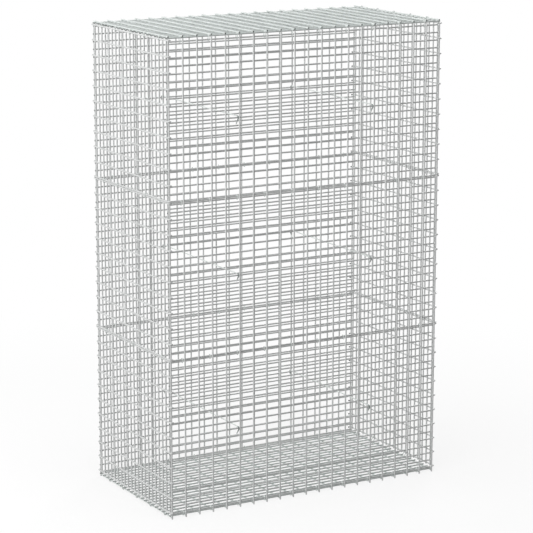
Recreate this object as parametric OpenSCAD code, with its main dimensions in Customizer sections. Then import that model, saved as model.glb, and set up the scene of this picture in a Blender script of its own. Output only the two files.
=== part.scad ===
// Free-standing gabion wall, empty: three storeys of welded wire mesh on a mesh base under a mesh cover.
// The side panels hook onto the corner uprights, wire rings clip the edges together, and hooked ties
// hold the front and the back at their distance. Millimetres, +Z up, front towards -Y.
// The origin is on the ground under the middle of the wall.

/* [Wall] */
// Width between the corner uprights of the front
wall_w = 1000; // [600:50:1600]
// Depth of a side panel's mesh between its edge wires
side_d = 500; // [300:25:800]
// Height of one storey's mesh between its edge wires
storey_h = 500; // [300:50:800]

/* [Mesh] */
// Diameter of the mesh wire
wire_d = 5; // [3:0.1:6]
// Long side of a mesh cell
cell_long = 50; // [40:5:100]
// Short cells in the length of a long one
cell_split = 2; // [1:1:3]
// Length of a cut wire end past the edge wire
wire_end = 5; // [3:0.5:10]
// Angle through which a side wire's end hooks round its corner upright
hook_turn = 135; // [90:5:180]

/* [Rings] */
// Diameter of the ring wire
ring_d = 2.5; // [2:0.1:4]
// Long cells from one ring to the next
ring_cells = 2; // [2:1:4]
// Distance of a front ring from the upright beside it
ring_side = 8; // [6:0.5:12]
// Gap between the closed ends of a ring
ring_gap = 1.2; // [0.5:0.1:2]

/* [Ties] */
// Diameter of the tie wire
tie_d = 4; // [3:0.1:5]
// Angle of a tie's bend over a mesh wire
tie_turn = 127; // [100:1:150]
// Straight length of a tie's hook past its bend
tie_leg = 22; // [8:1:30]
// Share of the width from a corner to the nearer row of ties
tie_share = 0.25; // [0.15:0.05:0.35]

/* [Clearances] */
// Gap between pieces that rest on each other
seat = 0.3; // [0.2:0.05:0.5]
// Gap between a corner upright and the hooks around it
hook_gap = 0.5; // [0.4:0.05:0.8]
// How much closer the edge wires are set, which welds them to every wire that they cross
weld_set = 0.2; // [0.1:0.05:0.3]

/* [Hidden] */

// Storeys, counted from the ground
lower = 0;
middle = 1;
upper = 2;

mesh_zinc = "#c9cfcd";
ring_zinc = "#b4bab9";
tie_zinc = "#a9afae";

// Facets of rings, ties and hooks
round_fn = 32;

// Few-sided mesh wire with the cross-section area of the round one, its flats towards the other layer
wire_sides = 6;
wire_flat = wire_d * sqrt(PI / (wire_sides * tan(180 / wire_sides)));
wire_corner = wire_flat / cos(180 / wire_sides);
flush = wire_corner / 2;
stub = flush + wire_end;

// Distance between the two layers of wires, of edge wires from the layer that they are welded to, and
// between two edge wires that lie on each other
weld_bite = 0.05;
edge_step = wire_flat - weld_bite;
layer_step = edge_step + weld_set;
joint_step = wire_corner + seat;

// Side panels: their outer wires pass the corner uprights and hook round them
hook_r = flush + hook_gap + wire_flat / 2;
side_x = wall_w / 2 + hook_r;
side_half = side_d / 2;

// Uprights of the front and of the back, whose inner wires lie just before the side panels
wall_half = side_half + flush + seat + wire_flat / 2 + layer_step;
side_end = wall_half - weld_set - side_half;

// Base and cover lie between the uprights of the front and of the back
lid_half = wall_half - weld_set - wire_flat / 2 - seat - flush;

// Mesh spaces across the width, up a storey and across the depth
n_w = round(wall_w / cell_long);
n_up_long = round(storey_h / cell_long);
n_up = n_up_long * cell_split;
n_d = round(side_d * cell_split / cell_long);

// Heights: the uprights' tips stand on the ground, and the rings under the base stay clear of it
base_z = ring_d + 2 * seat + wire_flat / 2;
front_z = base_z + edge_step + wire_flat / 2 + seat + flush;
storey_step = storey_h + joint_step;
function front_foot(storey) = front_z + storey * storey_step;
function front_head(storey) = front_foot(storey) + storey_h;
function side_foot(storey) = front_foot(storey) + joint_step;
function side_head(storey) = side_foot(storey) + storey_h;
cover_z = side_head(upper) + flush + seat + wire_flat / 2 + layer_step;

// Edge wires, as [distance out from the middle, height]
front_out = wall_half - edge_step;
side_out = side_x - weld_set;
base_front_wire = [lid_half, base_z + edge_step];
base_side_wire = [wall_w / 2, base_z + weld_set];
cover_front_wire = [lid_half, cover_z - edge_step];
cover_side_wire = [wall_w / 2, cover_z - weld_set];

// Centre line radius of a ring's bends, and of a tie's bend over a mesh wire. A tie is a hair thicker in its
// bends, and its straight lengths run into them.
ring_r = flush + seat + ring_d / 2;
tie_bend_d = tie_d + 2 * weld_bite;
tie_lap = 6 * weld_bite;
tie_r = flush + seat + tie_bend_d / 2;

// Few-sided wire along +Z with flats towards +Y and -Y
module wire(length) cylinder(h = length, d = wire_corner, $fn = wire_sides);

// Flat welded mesh in the XY plane, its outer face towards +Z and its first inner wire on the X axis.
// Outer wires run along Y and are spaced along X, and inner wires run along X and are spaced along Y.
// The edge wires of each layer are set towards the other layer.
module mesh_panel(across, n_outer, along, n_inner, outer_ends, inner_end, inner_edge_end) {
    for (i = [0:n_outer]) {
        is_edge = i == 0 || i == n_outer;
        translate([across * (i / n_outer - 0.5), -outer_ends[0], is_edge ? -weld_set : 0])
            rotate([-90, 0, 0])
                wire(along + outer_ends[0] + outer_ends[1]);
    }
    for (j = [0:n_inner]) {
        is_edge = j == 0 || j == n_inner;
        past_edge = is_edge ? inner_edge_end : inner_end;
        translate([-across / 2 - past_edge, along * j / n_inner, is_edge ? -edge_step : -layer_step])
            rotate([0, 90, 0])
                rotate([0, 0, 90])
                    wire(across + 2 * past_edge);
    }
}

// Hook of a side wire that ends at the origin, running towards -Y, round an upright at z = -r
module hook(r)
    translate([0, 0, -r])
        rotate([0, 90, 0])
            rotate([0, 0, 180])
                rotate_extrude(angle = hook_turn, $fn = round_fn)
                    translate([r, 0])
                        rotate(90)
                            circle(d = wire_corner, $fn = wire_sides);

module turned() rotate([0, 0, 180]) children();

// Panel of the front. The lowest uprights reach the ground, and the highest carry the cover.
module front_panel(storey)
    translate([0, -wall_half, front_foot(storey)])
        rotate([90, 0, 0])
            mesh_panel(wall_w, n_w, storey_h, n_up,
                [storey == lower ? front_z : flush, storey == upper ? joint_step + flush : flush], stub, flush);

// Panel of the left side, one wire above the front panel's wires, with a hook on each end of its outer wires
module left_panel(storey)
    translate([-side_x, -side_half, side_foot(storey) + storey_h / 2])
        rotate([0, -90, 0]) {
            mesh_panel(storey_h, n_up_long, side_d, n_d, [side_end, side_end], flush, flush);
            for (i = [0:n_up_long]) {
                set_in = i == 0 || i == n_up_long ? weld_set : 0;
                translate([storey_h * (i / n_up_long - 0.5), -side_end, -set_in]) {
                    hook(hook_r - set_in);
                    translate([0, side_d + 2 * side_end, 0]) mirror([0, 1, 0]) hook(hook_r - set_in);
                }
            }
        }

// Base or cover, with its outer wires along the depth
module lid_panel(outer_end)
    translate([0, -lid_half, 0])
        mesh_panel(wall_w, n_w, 2 * lid_half, n_d, [outer_end, outer_end], stub, stub);

// Half-round bend of a ring about the origin, from the angle start
module ring_bend(start)
    rotate([0, 0, start])
        rotate_extrude(angle = 180, $fn = round_fn)
            translate([ring_r, 0])
                circle(d = ring_d);

module ring_rod(length) rotate([0, 90, 0]) cylinder(h = length, d = ring_d, $fn = round_fn);

// Clip ring closed round two wires in the XY plane, the upper one first, with its split on the inner side
module clip_ring(high, low) {
    span = norm(high - low);
    split_rod = (span - ring_gap) / 2;
    translate([low[0], low[1], 0])
        rotate([0, 0, atan2(high[1] - low[1], high[0] - low[0])]) {
            ring_bend(90);
            translate([span, 0, 0]) ring_bend(-90);
            translate([0, -ring_r, 0]) ring_rod(span);
            translate([0, ring_r, 0]) ring_rod(split_rod);
            translate([span, ring_r, 0]) mirror([1, 0, 0]) ring_rod(split_rod);
        }
}

// Row of rings along a front edge, each beside an upright
module front_rings(high, low)
    for (i = [1:ring_cells:n_w - 1])
        translate([wall_w * (i / n_w - 0.5) - ring_side, 0, 0])
            rotate([90, 0, -90])
                clip_ring(high, low);

// Row of rings along a left edge, each midway between two uprights
module left_rings(high, low)
    for (j = [ring_cells * cell_split / 2:ring_cells * cell_split:n_d - 1])
        translate([0, side_d * ((j - 0.5) / n_d - 0.5), 0])
            rotate([90, 0, 180])
                clip_ring(high, low);

module front_joint_rings(storey)
    front_rings([front_out, front_foot(storey + 1)], [front_out, front_head(storey)]);

module left_joint_rings(storey)
    left_rings([side_out, side_foot(storey + 1)], [side_out, side_head(storey)]);

// Straight length of a tie along +Z, which runs on below its start into a bend
module tie_rod(length) translate([0, 0, -tie_lap]) cylinder(h = length + tie_lap, d = tie_d, $fn = round_fn);

// Tie over the middle wires of the front and of the back, beside an upright. Each end bends down round its
// wire and turns back inwards below it.
module tie(storey, share) {
    upright_x = wall_w * (round(n_w * share) / n_w - 0.5);
    wire_y = wall_half - layer_step;
    wire_z = front_foot(storey) + storey_h * round(n_up / 2) / n_up;
    translate([upright_x - flush - seat - tie_bend_d / 2, 0, wire_z]) {
        for (end = [0, 180])
            rotate([0, 0, end])
                translate([0, wire_y, 0])
                    rotate([90, 0, 90])
                        rotate([0, 0, 90 - tie_turn]) {
                            rotate_extrude(angle = tie_turn, $fn = round_fn)
                                translate([tie_r, 0])
                                    circle(d = tie_bend_d);
                            translate([tie_r, 0, 0]) rotate([90, 0, 0]) tie_rod(tie_leg);
                        }
        translate([0, wire_y, tie_r]) rotate([90, 0, 0]) tie_rod(2 * wire_y + tie_lap);
    }
}

module base_panel() { color(mesh_zinc) translate([0, 0, base_z]) rotate([180, 0, 0]) lid_panel(flush); }
module cover_panel() { color(mesh_zinc) translate([0, 0, cover_z]) lid_panel(stub); }

module lower_front_panel() { color(mesh_zinc) front_panel(lower); }
module lower_back_panel() { color(mesh_zinc) turned() front_panel(lower); }
module lower_left_panel() { color(mesh_zinc) left_panel(lower); }
module lower_right_panel() { color(mesh_zinc) turned() left_panel(lower); }
module middle_front_panel() { color(mesh_zinc) front_panel(middle); }
module middle_back_panel() { color(mesh_zinc) turned() front_panel(middle); }
module middle_left_panel() { color(mesh_zinc) left_panel(middle); }
module middle_right_panel() { color(mesh_zinc) turned() left_panel(middle); }
module upper_front_panel() { color(mesh_zinc) front_panel(upper); }
module upper_back_panel() { color(mesh_zinc) turned() front_panel(upper); }
module upper_left_panel() { color(mesh_zinc) left_panel(upper); }
module upper_right_panel() { color(mesh_zinc) turned() left_panel(upper); }

module bottom_front_rings() { color(ring_zinc) front_rings([front_out, front_z], base_front_wire); }
module bottom_back_rings() { color(ring_zinc) turned() front_rings([front_out, front_z], base_front_wire); }
module bottom_left_rings() { color(ring_zinc) left_rings([side_out, side_foot(lower)], base_side_wire); }
module bottom_right_rings() { color(ring_zinc) turned() left_rings([side_out, side_foot(lower)], base_side_wire); }
module lower_joint_front_rings() { color(ring_zinc) front_joint_rings(lower); }
module lower_joint_back_rings() { color(ring_zinc) turned() front_joint_rings(lower); }
module lower_joint_left_rings() { color(ring_zinc) left_joint_rings(lower); }
module lower_joint_right_rings() { color(ring_zinc) turned() left_joint_rings(lower); }
module upper_joint_front_rings() { color(ring_zinc) front_joint_rings(middle); }
module upper_joint_back_rings() { color(ring_zinc) turned() front_joint_rings(middle); }
module upper_joint_left_rings() { color(ring_zinc) left_joint_rings(middle); }
module upper_joint_right_rings() { color(ring_zinc) turned() left_joint_rings(middle); }
module top_front_rings() { color(ring_zinc) front_rings(cover_front_wire, [front_out, front_head(upper)]); }
module top_back_rings() { color(ring_zinc) turned() front_rings(cover_front_wire, [front_out, front_head(upper)]); }
module top_left_rings() { color(ring_zinc) left_rings(cover_side_wire, [side_out, side_head(upper)]); }
module top_right_rings() { color(ring_zinc) turned() left_rings(cover_side_wire, [side_out, side_head(upper)]); }

module lower_left_tie() { color(tie_zinc) tie(lower, tie_share); }
module lower_right_tie() { color(tie_zinc) tie(lower, 1 - tie_share); }
module middle_left_tie() { color(tie_zinc) tie(middle, tie_share); }
module middle_right_tie() { color(tie_zinc) tie(middle, 1 - tie_share); }
module upper_left_tie() { color(tie_zinc) tie(upper, tie_share); }
module upper_right_tie() { color(tie_zinc) tie(upper, 1 - tie_share); }

base_panel();
lower_front_panel();
lower_back_panel();
lower_left_panel();
lower_right_panel();
middle_front_panel();
middle_back_panel();
middle_left_panel();
middle_right_panel();
upper_front_panel();
upper_back_panel();
upper_left_panel();
upper_right_panel();
cover_panel();
bottom_front_rings();
bottom_back_rings();
bottom_left_rings();
bottom_right_rings();
lower_joint_front_rings();
lower_joint_back_rings();
lower_joint_left_rings();
lower_joint_right_rings();
upper_joint_front_rings();
upper_joint_back_rings();
upper_joint_left_rings();
upper_joint_right_rings();
top_front_rings();
top_back_rings();
top_left_rings();
top_right_rings();
lower_left_tie();
lower_right_tie();
middle_left_tie();
middle_right_tie();
upper_left_tie();
upper_right_tie();
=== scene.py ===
import math

import bpy
from mathutils import Matrix, Vector


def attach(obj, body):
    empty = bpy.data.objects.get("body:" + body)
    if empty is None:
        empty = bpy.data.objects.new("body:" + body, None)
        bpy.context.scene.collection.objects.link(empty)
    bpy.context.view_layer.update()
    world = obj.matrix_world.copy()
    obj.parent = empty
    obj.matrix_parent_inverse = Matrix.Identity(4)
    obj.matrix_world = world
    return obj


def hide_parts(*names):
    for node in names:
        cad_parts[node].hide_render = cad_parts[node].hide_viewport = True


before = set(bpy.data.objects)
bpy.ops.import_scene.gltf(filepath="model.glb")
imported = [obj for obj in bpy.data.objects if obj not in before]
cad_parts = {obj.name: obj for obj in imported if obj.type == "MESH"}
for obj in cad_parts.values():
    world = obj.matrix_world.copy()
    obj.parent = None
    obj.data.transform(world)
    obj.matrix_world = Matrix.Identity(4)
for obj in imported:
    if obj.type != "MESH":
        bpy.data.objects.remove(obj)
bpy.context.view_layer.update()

# Sizes of the basket in metres, as the source of the part has them
MM = 0.001
WALL_W, SIDE_D, STOREY_H = 1000 * MM, 500 * MM, 500 * MM
LONG_CELLS_ACROSS, LONG_CELLS_UP = 20, 10
SHORT_CELLS_UP, SHORT_CELLS_DEEP = 20, 20
WIRE_D, RING_D = 5 * MM, 2.5 * MM
HOOK_TURN = math.radians(135)
SEAT, HOOK_GAP = 0.3 * MM, 0.5 * MM
WELD_SET, WELD_BITE = 0.2 * MM, 0.05 * MM
# The solids leave 5 mm of wire past the last crossing, of which the photo shows about half
WIRE_END = 2.5 * MM

# Wire of the solids, a six-sided bar with the area of the round wire: width over flats and over corners
HEX_SIDES = 6
HEX_ANGLE = math.pi / HEX_SIDES
FLAT = WIRE_D * math.sqrt(math.pi / (HEX_SIDES * math.tan(HEX_ANGLE)))
CORNER = FLAT / math.cos(HEX_ANGLE)

# Lengths of wire past a crossing, steps from wire to wire, and places of the panels
FLUSH = CORNER / 2
STUB = FLUSH + WIRE_END
EDGE_STEP = FLAT - WELD_BITE
LAYER_STEP = EDGE_STEP + WELD_SET
JOINT_STEP = CORNER + SEAT
STOREY_STEP = STOREY_H + JOINT_STEP
HOOK_R = FLUSH + HOOK_GAP + FLAT / 2
SIDE_X = WALL_W / 2 + HOOK_R
SIDE_HALF = SIDE_D / 2
WALL_HALF = SIDE_HALF + FLUSH + SEAT + FLAT / 2 + LAYER_STEP
SIDE_END = WALL_HALF - WELD_SET - SIDE_HALF
LID_HALF = WALL_HALF - WELD_SET - FLAT / 2 - SEAT - FLUSH
BASE_Z = RING_D + 2 * SEAT + FLAT / 2
FRONT_Z = BASE_Z + EDGE_STEP + FLAT / 2 + SEAT + FLUSH
COVER_Z = FRONT_Z + JOINT_STEP + 2 * STOREY_STEP + STOREY_H + FLUSH + SEAT + FLAT / 2 + LAYER_STEP

# Depth from the middle at which a tie starts to bend over its wire, and at which it is all hook
HOOK_FROM = WALL_HALF - LAYER_STEP - WIRE_D
HOOK_FULL = WALL_HALF - LAYER_STEP + WIRE_D / 2

# Round wire and its welds, with the least and the greatest stretch of a weld along X, Y and Z
WIRE_SIDES, HOOK_POINTS = 12, 11
WELD_W, WELD_SIDES, WELD_RINGS = 1.3 * WIRE_D, 8, 4
WELD_LEAST, WELD_GREATEST = (0.85, 0.85, 0.5), (1.1, 1.1, 0.62)
SAME_POINT = 0.01 * MM


# Colours and nodes

def linear(hex_colour):
    """sRGB hex to linear RGBA."""
    def channel(c):
        return c / 12.92 if c <= 0.04045 else ((c + 0.055) / 1.055) ** 2.4
    return tuple(channel(int(hex_colour[i:i + 2], 16) / 255) for i in (1, 3, 5)) + (1.0,)


def add(tree, kind, inputs=None, **settings):
    """Adds one node: settings go on the node, and inputs are values or sockets to link, by name or number."""
    node = tree.nodes.new(kind)
    for key, value in settings.items():
        setattr(node, key, value)
    for key, value in (inputs or {}).items():
        if isinstance(value, bpy.types.NodeSocket):
            tree.links.new(value, node.inputs[key])
        else:
            node.inputs[key].default_value = value
    return node


def empty_tree(owner):
    """The node tree of a material or a world, with no nodes in it."""
    owner.use_nodes = True
    owner.node_tree.nodes.clear()
    return owner.node_tree


def maths(tree, operation, a, b=0.0):
    return add(tree, "ShaderNodeMath", {0: a, 1: b}, operation=operation).outputs[0]


def noise(tree, place, width, detail):
    """Noise with features about as wide as given, in metres."""
    node = add(tree, "ShaderNodeTexNoise", {"Vector": place, "Scale": 1 / width, "Detail": detail})
    return node.outputs["Fac"]


def blend(tree, factor, first, second):
    return add(tree, "ShaderNodeMix", {"Factor": factor, 6: first, 7: second}, data_type="RGBA").outputs[2]


# Galvanised steel wire

FLAKE_SHARE = 0.4
ROUGHNESS_SPREAD = 0.07


def galvanised_wire(name, pale, grey, roughness, hook_shade=None):
    """Hot-dipped zinc on drawn steel wire: dull and pale, with faint flakes of crystal and clouds of grey.
    A hook shade darkens the hooks of the ties: painted shade, deepest where the tie bends down over its wire."""
    material = bpy.data.materials.new(name)
    tree = empty_tree(material)
    place = add(tree, "ShaderNodeTexCoord").outputs["Object"]
    # Crystal flakes about 4 mm across, as on thin zinc
    flakes = add(tree, "ShaderNodeTexVoronoi", {"Vector": place, "Scale": 1 / (4 * MM)}).outputs["Color"]
    # Clouds of duller zinc, about 60 mm long
    clouds = noise(tree, place, 60 * MM, detail=3.0)
    # Grain of the dipped coat, 0.8 mm, coarser than the real one so that it shows
    grain = noise(tree, place, 0.8 * MM, detail=2.0)
    tone = add(tree, "ShaderNodeMix", {"Factor": FLAKE_SHARE, 2: clouds, 3: flakes},
               data_type="FLOAT").outputs[0]
    colour = blend(tree, tone, linear(pale), linear(grey))
    # Painted shade: the hooks of the ties are darkened towards their bends
    if hook_shade:
        depth = add(tree, "ShaderNodeSeparateXYZ", {0: place}).outputs["Y"]
        shaded_hook = add(tree, "ShaderNodeMapRange", {
            "Value": maths(tree, "ABSOLUTE", depth), "From Min": HOOK_FROM, "From Max": HOOK_FULL}).outputs[0]
        colour = blend(tree, shaded_hook, colour, linear(hook_shade))
    rough = add(tree, "ShaderNodeMapRange", {
        "Value": tone, "To Min": roughness - ROUGHNESS_SPREAD,
        "To Max": roughness + ROUGHNESS_SPREAD}).outputs[0]
    bump = add(tree, "ShaderNodeBump", {"Height": grain, "Strength": 0.15, "Distance": 0.05 * MM}).outputs[0]
    shader = add(tree, "ShaderNodeBsdfPrincipled", {
        "Base Color": colour, "Metallic": 0.12, "Roughness": rough, "Normal": bump})
    add(tree, "ShaderNodeOutputMaterial", {"Surface": shader.outputs[0]})
    return material


mesh_zinc = galvanised_wire("galvanised_mesh_wire", "#e0e1e1", "#bcbebd", 0.42)
# The photo shows the base and the cover a little greener than the walls
lid_zinc = galvanised_wire("galvanised_lid_wire", "#dfe4e2", "#bbc1bf", 0.42)
ring_zinc = galvanised_wire("galvanised_ring_wire", "#e6eae8", "#c9cecc", 0.38)
# The dark hook colour of the ties is painted shade
tie_zinc = galvanised_wire("galvanised_tie_wire", "#e6eae8", "#c9cecc", 0.38, hook_shade="#7d8482")


# Bare steel at the cut ends of the wires, darkened with painted shade

def cut_steel_and_shade():
    """Sheared steel where the cut has taken the zinc off: flat and dull, and darker than bare steel, as
    painted shade on the ends.
    """
    material = bpy.data.materials.new("sheared_steel_and_shade_ends")
    tree = empty_tree(material)
    place = add(tree, "ShaderNodeTexCoord").outputs["Object"]
    # Torn patches of the shear, about 1.5 mm wide
    patches = noise(tree, place, 1.5 * MM, detail=2.0)
    # These dark steel colours are bare steel with painted shade on the cut ends
    colour = blend(tree, patches, linear("#6b6e6d"), linear("#484a49"))
    bump = add(tree, "ShaderNodeBump", {"Height": patches, "Strength": 0.3, "Distance": 0.2 * MM}).outputs[0]
    shader = add(tree, "ShaderNodeBsdfPrincipled", {
        "Base Color": colour, "Metallic": 0.3, "Roughness": 0.65, "Normal": bump})
    add(tree, "ShaderNodeOutputMaterial", {"Surface": shader.outputs[0]})
    return material


steel_ends_and_shade = cut_steel_and_shade()


# Welded mesh, as one tree of nodes

def vector(tree, x=0.0, y=0.0, z=0.0):
    return add(tree, "ShaderNodeCombineXYZ", {0: x, 1: y, 2: z}).outputs[0]


def equal(tree, a, b):
    return add(tree, "FunctionNodeCompare", {2: a, 3: b}, data_type="INT", operation="EQUAL").outputs[0]


def join(tree, pieces):
    joined = add(tree, "GeometryNodeJoinGeometry")
    for piece in pieces:
        tree.links.new(piece, joined.inputs[0])
    return joined.outputs[0]


def at_edges(tree, spaces):
    """True for the first and the last point of a row."""
    index = add(tree, "GeometryNodeInputIndex").outputs[0]
    ends = {0: equal(tree, index, 0), 1: equal(tree, index, spaces)}
    return add(tree, "FunctionNodeBooleanMath", ends, operation="OR").outputs[0]


def row_of_points(tree, spaces, start, finish, edge_shift):
    """Evenly spaced points, of which the first and the last are shifted along Z."""
    line = add(tree, "GeometryNodeMeshLine", {
        "Count": maths(tree, "ADD", spaces, 1.0), "Start Location": start, "Offset": finish},
        mode="END_POINTS")
    return add(tree, "GeometryNodeSetPosition", {
        "Geometry": line.outputs[0], "Selection": at_edges(tree, spaces),
        "Offset": vector(tree, 0, 0, edge_shift)}).outputs[0]


def hook(tree, given, y, turn):
    """Arc that bends down from the end of an outer wire, as a row of edges."""
    arc = add(tree, "GeometryNodeCurveArc", {
        "Resolution": HOOK_POINTS, "Radius": given["Hook Radius"], "Start Angle": 0.0,
        "Sweep Angle": given["Hook Turn"]}, mode="RADIUS")
    centre = vector(tree, 0, y, maths(tree, "MULTIPLY", given["Hook Radius"], -1.0))
    placed = add(tree, "GeometryNodeTransform", {
        "Geometry": arc.outputs[0], "Translation": centre, "Rotation": turn})
    return add(tree, "GeometryNodeCurveToMesh", {"Curve": placed.outputs[0]}).outputs[0]


def outer_wires(tree, given, minus_half, half_across):
    """Paths of the outer wires, straight or with a hook at both ends."""
    points = row_of_points(tree, given["Outer Spaces"], vector(tree, minus_half),
                           vector(tree, half_across), -WELD_SET)
    low_y = maths(tree, "MULTIPLY", given["Outer Start"], -1.0)
    high_y = maths(tree, "ADD", given["Along"], given["Outer Finish"])
    straight = add(tree, "GeometryNodeCurvePrimitiveLine", {
        "Start": vector(tree, 0, low_y), "End": vector(tree, 0, high_y)}).outputs[0]
    quarter = math.pi / 2
    pieces = join(tree, (
        hook(tree, given, low_y, (2 * quarter, -quarter, 0)),
        hook(tree, given, high_y, (0, -quarter, 0)),
        add(tree, "GeometryNodeCurveToMesh", {"Curve": straight}).outputs[0]))
    merged = add(tree, "GeometryNodeMergeByDistance", {"Geometry": pieces, "Distance": SAME_POINT})
    hooked = add(tree, "GeometryNodeMeshToCurve", {"Mesh": merged.outputs[0]})
    path = add(tree, "GeometryNodeSwitch", {
        "Switch": given["Hooked"], "False": straight, "True": hooked.outputs[0]}, input_type="GEOMETRY")
    return add(tree, "GeometryNodeInstanceOnPoints", {
        "Points": points, "Instance": path.outputs[0]}).outputs[0]


def inner_wires(tree, given, minus_half, half_across):
    """Paths of the inner wires, of which the two edge wires may be shorter."""
    points = row_of_points(tree, given["Inner Spaces"], (0, 0, -LAYER_STEP),
                           vector(tree, 0, given["Along"], -LAYER_STEP), WELD_SET)
    reach = maths(tree, "ADD", half_across, given["Inner End"])
    edge_reach = maths(tree, "ADD", half_across, given["Inner Edge End"])
    path = add(tree, "GeometryNodeCurvePrimitiveLine", {
        "Start": vector(tree, maths(tree, "SUBTRACT", minus_half, given["Inner End"])),
        "End": vector(tree, reach)})
    shorter = vector(tree, maths(tree, "DIVIDE", edge_reach, reach), 1.0, 1.0)
    scale = add(tree, "GeometryNodeSwitch", {
        "Switch": at_edges(tree, given["Inner Spaces"]), "False": (1, 1, 1), "True": shorter},
        input_type="VECTOR")
    return add(tree, "GeometryNodeInstanceOnPoints", {
        "Points": points, "Instance": path.outputs[0], "Scale": scale.outputs[0]}).outputs[0]


def round_wire(tree, given, paths):
    """Round wire with flat ends along every path."""
    laid = add(tree, "GeometryNodeRealizeInstances", {"Geometry": paths})
    section = add(tree, "GeometryNodeCurvePrimitiveCircle", {
        "Resolution": WIRE_SIDES, "Radius": maths(tree, "MULTIPLY", given["Wire Diameter"], 0.5)},
        mode="RADIUS")
    return add(tree, "GeometryNodeCurveToMesh", {
        "Curve": laid.outputs[0], "Profile Curve": section.outputs[0], "Fill Caps": True}).outputs[0]


def weld_buttons(tree, given):
    """Low buttons of melted zinc and steel between the two wires of a crossing, each a little different."""
    grid = add(tree, "GeometryNodeMeshGrid", {
        "Size X": given["Across"], "Size Y": given["Along"],
        "Vertices X": maths(tree, "ADD", given["Outer Spaces"], 1.0),
        "Vertices Y": maths(tree, "ADD", given["Inner Spaces"], 1.0)})
    middle = vector(tree, 0, maths(tree, "MULTIPLY", given["Along"], 0.5), -LAYER_STEP / 2)
    crossings = add(tree, "GeometryNodeSetPosition", {"Geometry": grid.outputs[0], "Offset": middle})
    button = add(tree, "GeometryNodeMeshUVSphere", {
        "Segments": WELD_SIDES, "Rings": WELD_RINGS,
        "Radius": maths(tree, "MULTIPLY", given["Weld Width"], 0.5)})

    def chance(least, greatest):
        return add(tree, "FunctionNodeRandomValue", {0: least, 1: greatest, "Seed": given["Seed"]},
                   data_type="FLOAT_VECTOR").outputs[0]

    return add(tree, "GeometryNodeInstanceOnPoints", {
        "Points": crossings.outputs[0], "Instance": button.outputs[0],
        "Rotation": chance((0, 0, 0), (0, 0, math.pi)),
        "Scale": chance(WELD_LEAST, WELD_GREATEST)}).outputs[0]


def finish_wire(tree, given, geometry):
    """Zinc on real, smooth geometry, and bare steel darkened with painted shade on the flat ends of the
    wires.
    """
    real = add(tree, "GeometryNodeRealizeInstances", {"Geometry": geometry})
    # The flat ends are the only faces with as many corners as a wire has sides
    corners = add(tree, "GeometryNodeInputMeshFaceNeighbors").outputs["Vertex Count"]
    cut = equal(tree, corners, WIRE_SIDES)
    smooth = add(tree, "GeometryNodeSetShadeSmooth", {"Geometry": real.outputs[0]})
    flat = add(tree, "GeometryNodeSetShadeSmooth", {
        "Geometry": smooth.outputs[0], "Selection": cut, "Shade Smooth": False})
    zinc = add(tree, "GeometryNodeSetMaterial", {"Geometry": flat.outputs[0], "Material": given["Material"]})
    return add(tree, "GeometryNodeSetMaterial", {
        "Geometry": zinc.outputs[0], "Selection": cut, "Material": given["Cut Material"]}).outputs[0]


def welded_mesh_tree():
    """Flat mesh in the XY plane with its outer face up: outer wires along Y, inner wires along X below them,
    a weld at each crossing and, where asked for, a hook on both ends of the outer wires."""
    tree = bpy.data.node_groups.new("welded_mesh", "GeometryNodeTree")
    face = tree.interface
    for name, kind, value in [
        ("Across", "NodeSocketFloat", WALL_W), ("Along", "NodeSocketFloat", STOREY_H),
        ("Outer Spaces", "NodeSocketInt", LONG_CELLS_ACROSS),
        ("Inner Spaces", "NodeSocketInt", SHORT_CELLS_UP),
        ("Outer Start", "NodeSocketFloat", FLUSH), ("Outer Finish", "NodeSocketFloat", FLUSH),
        ("Inner End", "NodeSocketFloat", STUB), ("Inner Edge End", "NodeSocketFloat", FLUSH),
        ("Hooked", "NodeSocketBool", False), ("Hook Radius", "NodeSocketFloat", HOOK_R),
        ("Hook Turn", "NodeSocketFloat", HOOK_TURN),
        ("Wire Diameter", "NodeSocketFloat", WIRE_D), ("Weld Width", "NodeSocketFloat", WELD_W),
        ("Seed", "NodeSocketInt", 0),
    ]:
        face.new_socket(name, in_out="INPUT", socket_type=kind).default_value = value
    for name in ("Material", "Cut Material"):
        face.new_socket(name, in_out="INPUT", socket_type="NodeSocketMaterial")
    face.new_socket("Mesh", in_out="OUTPUT", socket_type="NodeSocketGeometry")

    given = add(tree, "NodeGroupInput").outputs
    half_across = maths(tree, "MULTIPLY", given["Across"], 0.5)
    minus_half = maths(tree, "MULTIPLY", given["Across"], -0.5)
    paths = join(tree, (outer_wires(tree, given, minus_half, half_across),
                        inner_wires(tree, given, minus_half, half_across)))
    whole = join(tree, (weld_buttons(tree, given), round_wire(tree, given, paths)))
    add(tree, "NodeGroupOutput", {0: finish_wire(tree, given, whole)})
    return tree


MESH_TREE = welded_mesh_tree()


# Panels of the basket

def mesh_panel(node, place, zinc, **sizes):
    """A panel of round wire in the place of its CAD node."""
    maker = bpy.data.objects.new(node + "_maker", bpy.data.meshes.new(node + "_maker"))
    bpy.context.scene.collection.objects.link(maker)
    modifier = maker.modifiers.new("welded_mesh", "NODES")
    modifier.node_group = MESH_TREE
    values = {"Material": zinc, "Cut Material": steel_ends_and_shade, **sizes}
    for item in MESH_TREE.interface.items_tree:
        if item.in_out == "INPUT" and item.name in values:
            modifier[item.identifier] = values[item.name]
    made = bpy.data.meshes.new_from_object(maker.evaluated_get(bpy.context.evaluated_depsgraph_get()))
    maker.modifiers.remove(modifier)
    bpy.data.objects.remove(maker)
    made.transform(place)
    made.name = node + "_wires"
    panel = bpy.data.objects.new(node + "_wires", made)
    bpy.context.scene.collection.objects.link(panel)
    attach(panel, "root")
    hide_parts(node)


def turned(degrees, axis):
    return Matrix.Rotation(math.radians(degrees), 4, axis)


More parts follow.
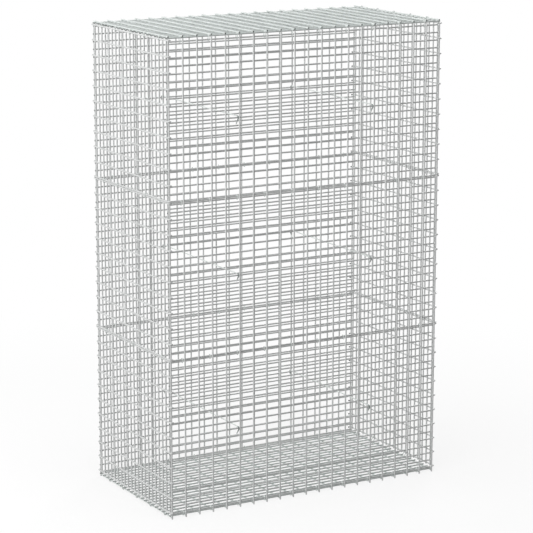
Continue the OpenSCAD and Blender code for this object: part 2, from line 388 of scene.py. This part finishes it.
half_turn = turned(180, "Z")
for number, storey in enumerate(("lower", "middle", "upper")):
    foot = FRONT_Z + number * STOREY_STEP
    side_middle = foot + JOINT_STEP + STOREY_H / 2
    front_place = Matrix.Translation((0, -WALL_HALF, foot)) @ turned(90, "X")
    side_place = Matrix.Translation((-SIDE_X, -SIDE_HALF, side_middle)) @ turned(-90, "Y")
    front_sizes = {
        "Across": WALL_W, "Along": STOREY_H,
        "Outer Spaces": LONG_CELLS_ACROSS, "Inner Spaces": SHORT_CELLS_UP,
        "Outer Start": FRONT_Z if storey == "lower" else FLUSH,
        "Outer Finish": JOINT_STEP + FLUSH if storey == "upper" else FLUSH,
        "Inner End": STUB, "Inner Edge End": FLUSH}
    side_sizes = {
        "Across": STOREY_H, "Along": SIDE_D,
        "Outer Spaces": LONG_CELLS_UP, "Inner Spaces": SHORT_CELLS_DEEP,
        "Outer Start": SIDE_END, "Outer Finish": SIDE_END,
        "Inner End": FLUSH, "Inner Edge End": FLUSH, "Hooked": True}
    # Each panel has its own seed, so that no two have the same welds
    seed = 10 * number
    mesh_panel(storey + "_front_panel", front_place, mesh_zinc, Seed=seed + 1, **front_sizes)
    mesh_panel(storey + "_back_panel", half_turn @ front_place, mesh_zinc, Seed=seed + 2, **front_sizes)
    mesh_panel(storey + "_left_panel", side_place, mesh_zinc, Seed=seed + 3, **side_sizes)
    mesh_panel(storey + "_right_panel", half_turn @ side_place, mesh_zinc, Seed=seed + 4, **side_sizes)

lid_sizes = {
    "Across": WALL_W, "Along": 2 * LID_HALF,
    "Outer Spaces": LONG_CELLS_ACROSS, "Inner Spaces": SHORT_CELLS_DEEP,
    "Inner End": STUB, "Inner Edge End": STUB}
lid_middle = Matrix.Translation((0, -LID_HALF, 0))
base_place = Matrix.Translation((0, 0, BASE_Z)) @ turned(180, "X") @ lid_middle
cover_place = Matrix.Translation((0, 0, COVER_Z)) @ lid_middle
mesh_panel("base_panel", base_place, lid_zinc, Seed=41, **lid_sizes,
           **{"Outer Start": FLUSH, "Outer Finish": FLUSH})
mesh_panel("cover_panel", cover_place, lid_zinc, Seed=42, **lid_sizes,
           **{"Outer Start": STUB, "Outer Finish": STUB})

# Rings and ties keep their solids and get their zinc
for name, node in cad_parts.items():
    if name.endswith(("_rings", "_tie")):
        node.data.materials.clear()
        node.data.materials.append(ring_zinc if name.endswith("_rings") else tie_zinc)


# White studio

WHITE = linear("#ffffff")
FLOOR_HALF = 30.0
# The floor near the basket is partly matt, which keeps its shadow, and further out it is all white
NEAR, FAR = 0.5, 2.5
WHITE_NEAR, WHITE_FAR = 0.75, 1.0
FILL_STRENGTH = 0.145


def seen_directly(tree):
    """1 for what the camera sees, also in a reflection or through glass, and 0 for what lights the object."""
    path = add(tree, "ShaderNodeLightPath").outputs
    seen = maths(tree, "MAXIMUM", path["Is Camera Ray"], path["Is Glossy Ray"])
    return maths(tree, "MAXIMUM", seen, path["Is Transmission Ray"])


def white_floor():
    """Floor that is white to the camera, with a matt share near the object that keeps its shadow."""
    material = bpy.data.materials.new("white_studio_floor")
    tree = empty_tree(material)
    seen = seen_directly(tree)
    place = add(tree, "ShaderNodeTexCoord").outputs["Object"]
    distance = add(tree, "ShaderNodeVectorMath", {0: place}, operation="LENGTH").outputs["Value"]
    white_share = add(tree, "ShaderNodeMapRange", {
        "Value": distance, "From Min": NEAR, "From Max": FAR, "To Min": WHITE_NEAR, "To Max": WHITE_FAR},
        interpolation_type="SMOOTHSTEP").outputs[0]
    share = maths(tree, "MULTIPLY", seen, white_share)
    # Grey to the light that it throws back, so that the undersides of the wires stay dark
    matt = add(tree, "ShaderNodeBsdfDiffuse", {"Color": blend(tree, seen, linear("#a8a8a8"), WHITE)})
    white = add(tree, "ShaderNodeEmission", {"Color": WHITE, "Strength": 1.0})
    mixed = add(tree, "ShaderNodeMixShader", {0: share, 1: matt.outputs[0], 2: white.outputs[0]})
    add(tree, "ShaderNodeOutputMaterial", {"Surface": mixed.outputs[0]})
    return material


floor_mesh = bpy.data.meshes.new("studio_floor")
floor_corners = [(x * FLOOR_HALF, y * FLOOR_HALF, 0) for x, y in ((-1, -1), (1, -1), (1, 1), (-1, 1))]
floor_mesh.from_pydata(floor_corners, [], [(0, 1, 2, 3)])
floor_mesh.materials.append(white_floor())
floor = bpy.data.objects.new("studio_floor", floor_mesh)
bpy.context.scene.collection.objects.link(floor)


def white_air():
    """World that is white to the camera and lights the object weakly from all sides."""
    world = bpy.data.worlds.new("studio_air")
    tree = empty_tree(world)
    fill = add(tree, "ShaderNodeBackground", {"Color": WHITE, "Strength": FILL_STRENGTH})
    white = add(tree, "ShaderNodeBackground", {"Color": WHITE, "Strength": 1.0})
    mixed = add(tree, "ShaderNodeMixShader", {
        0: seen_directly(tree), 1: fill.outputs[0], 2: white.outputs[0]})
    add(tree, "ShaderNodeOutputWorld", {"Surface": mixed.outputs[0]})
    return world


bpy.context.scene.world = white_air()

LAMP_AIM = Vector((0, 0, 0.75))


def softbox(name, place, size, watts, shadow=True):
    """Round softbox, in metres and watts, that points at the middle of the basket."""
    lamp = bpy.data.lights.new(name, "AREA")
    lamp.shape = "DISK"
    lamp.size = size
    lamp.energy = watts
    lamp.use_shadow = shadow
    stand = bpy.data.objects.new(name, lamp)
    stand.location = place
    stand.rotation_mode = "QUATERNION"
    stand.rotation_quaternion = (LAMP_AIM - Vector(place)).to_track_quat("-Z", "Y")
    bpy.context.scene.collection.objects.link(stand)


# The key from the left leaves out the shadows of wires on wires, which the photo doesn't have
softbox("key_softbox", (-6.0, -0.4, 2.8), 2.5, 295, shadow=False)
softbox("top_softbox", (-0.5, -0.6, 6.0), 3.0, 150)
softbox("back_softbox", (4.5, 4.0, 2.6), 2.5, 120)

# Camera to the left of the front, above the cover, with its angles in degrees
SENSOR_W = 36.0
PHOTO_W_PIXELS, FOCAL_PIXELS = 533, 2186.58
LOOK_DOWN, ROLL, HEADING = 12.5052, -0.0548, -30.1086
lens = bpy.data.cameras.new("photo_camera")
lens.sensor_width = SENSOR_W
lens.lens = SENSOR_W * FOCAL_PIXELS / PHOTO_W_PIXELS
camera = bpy.data.objects.new("photo_camera", lens)
camera.location = (-3.577, -6.1624, 2.3029)
camera.rotation_euler = (math.radians(90 - LOOK_DOWN), math.radians(ROLL), math.radians(HEADING))
bpy.context.scene.collection.objects.link(camera)
bpy.context.scene.camera = camera

bpy.context.scene.view_settings.view_transform = "Standard"
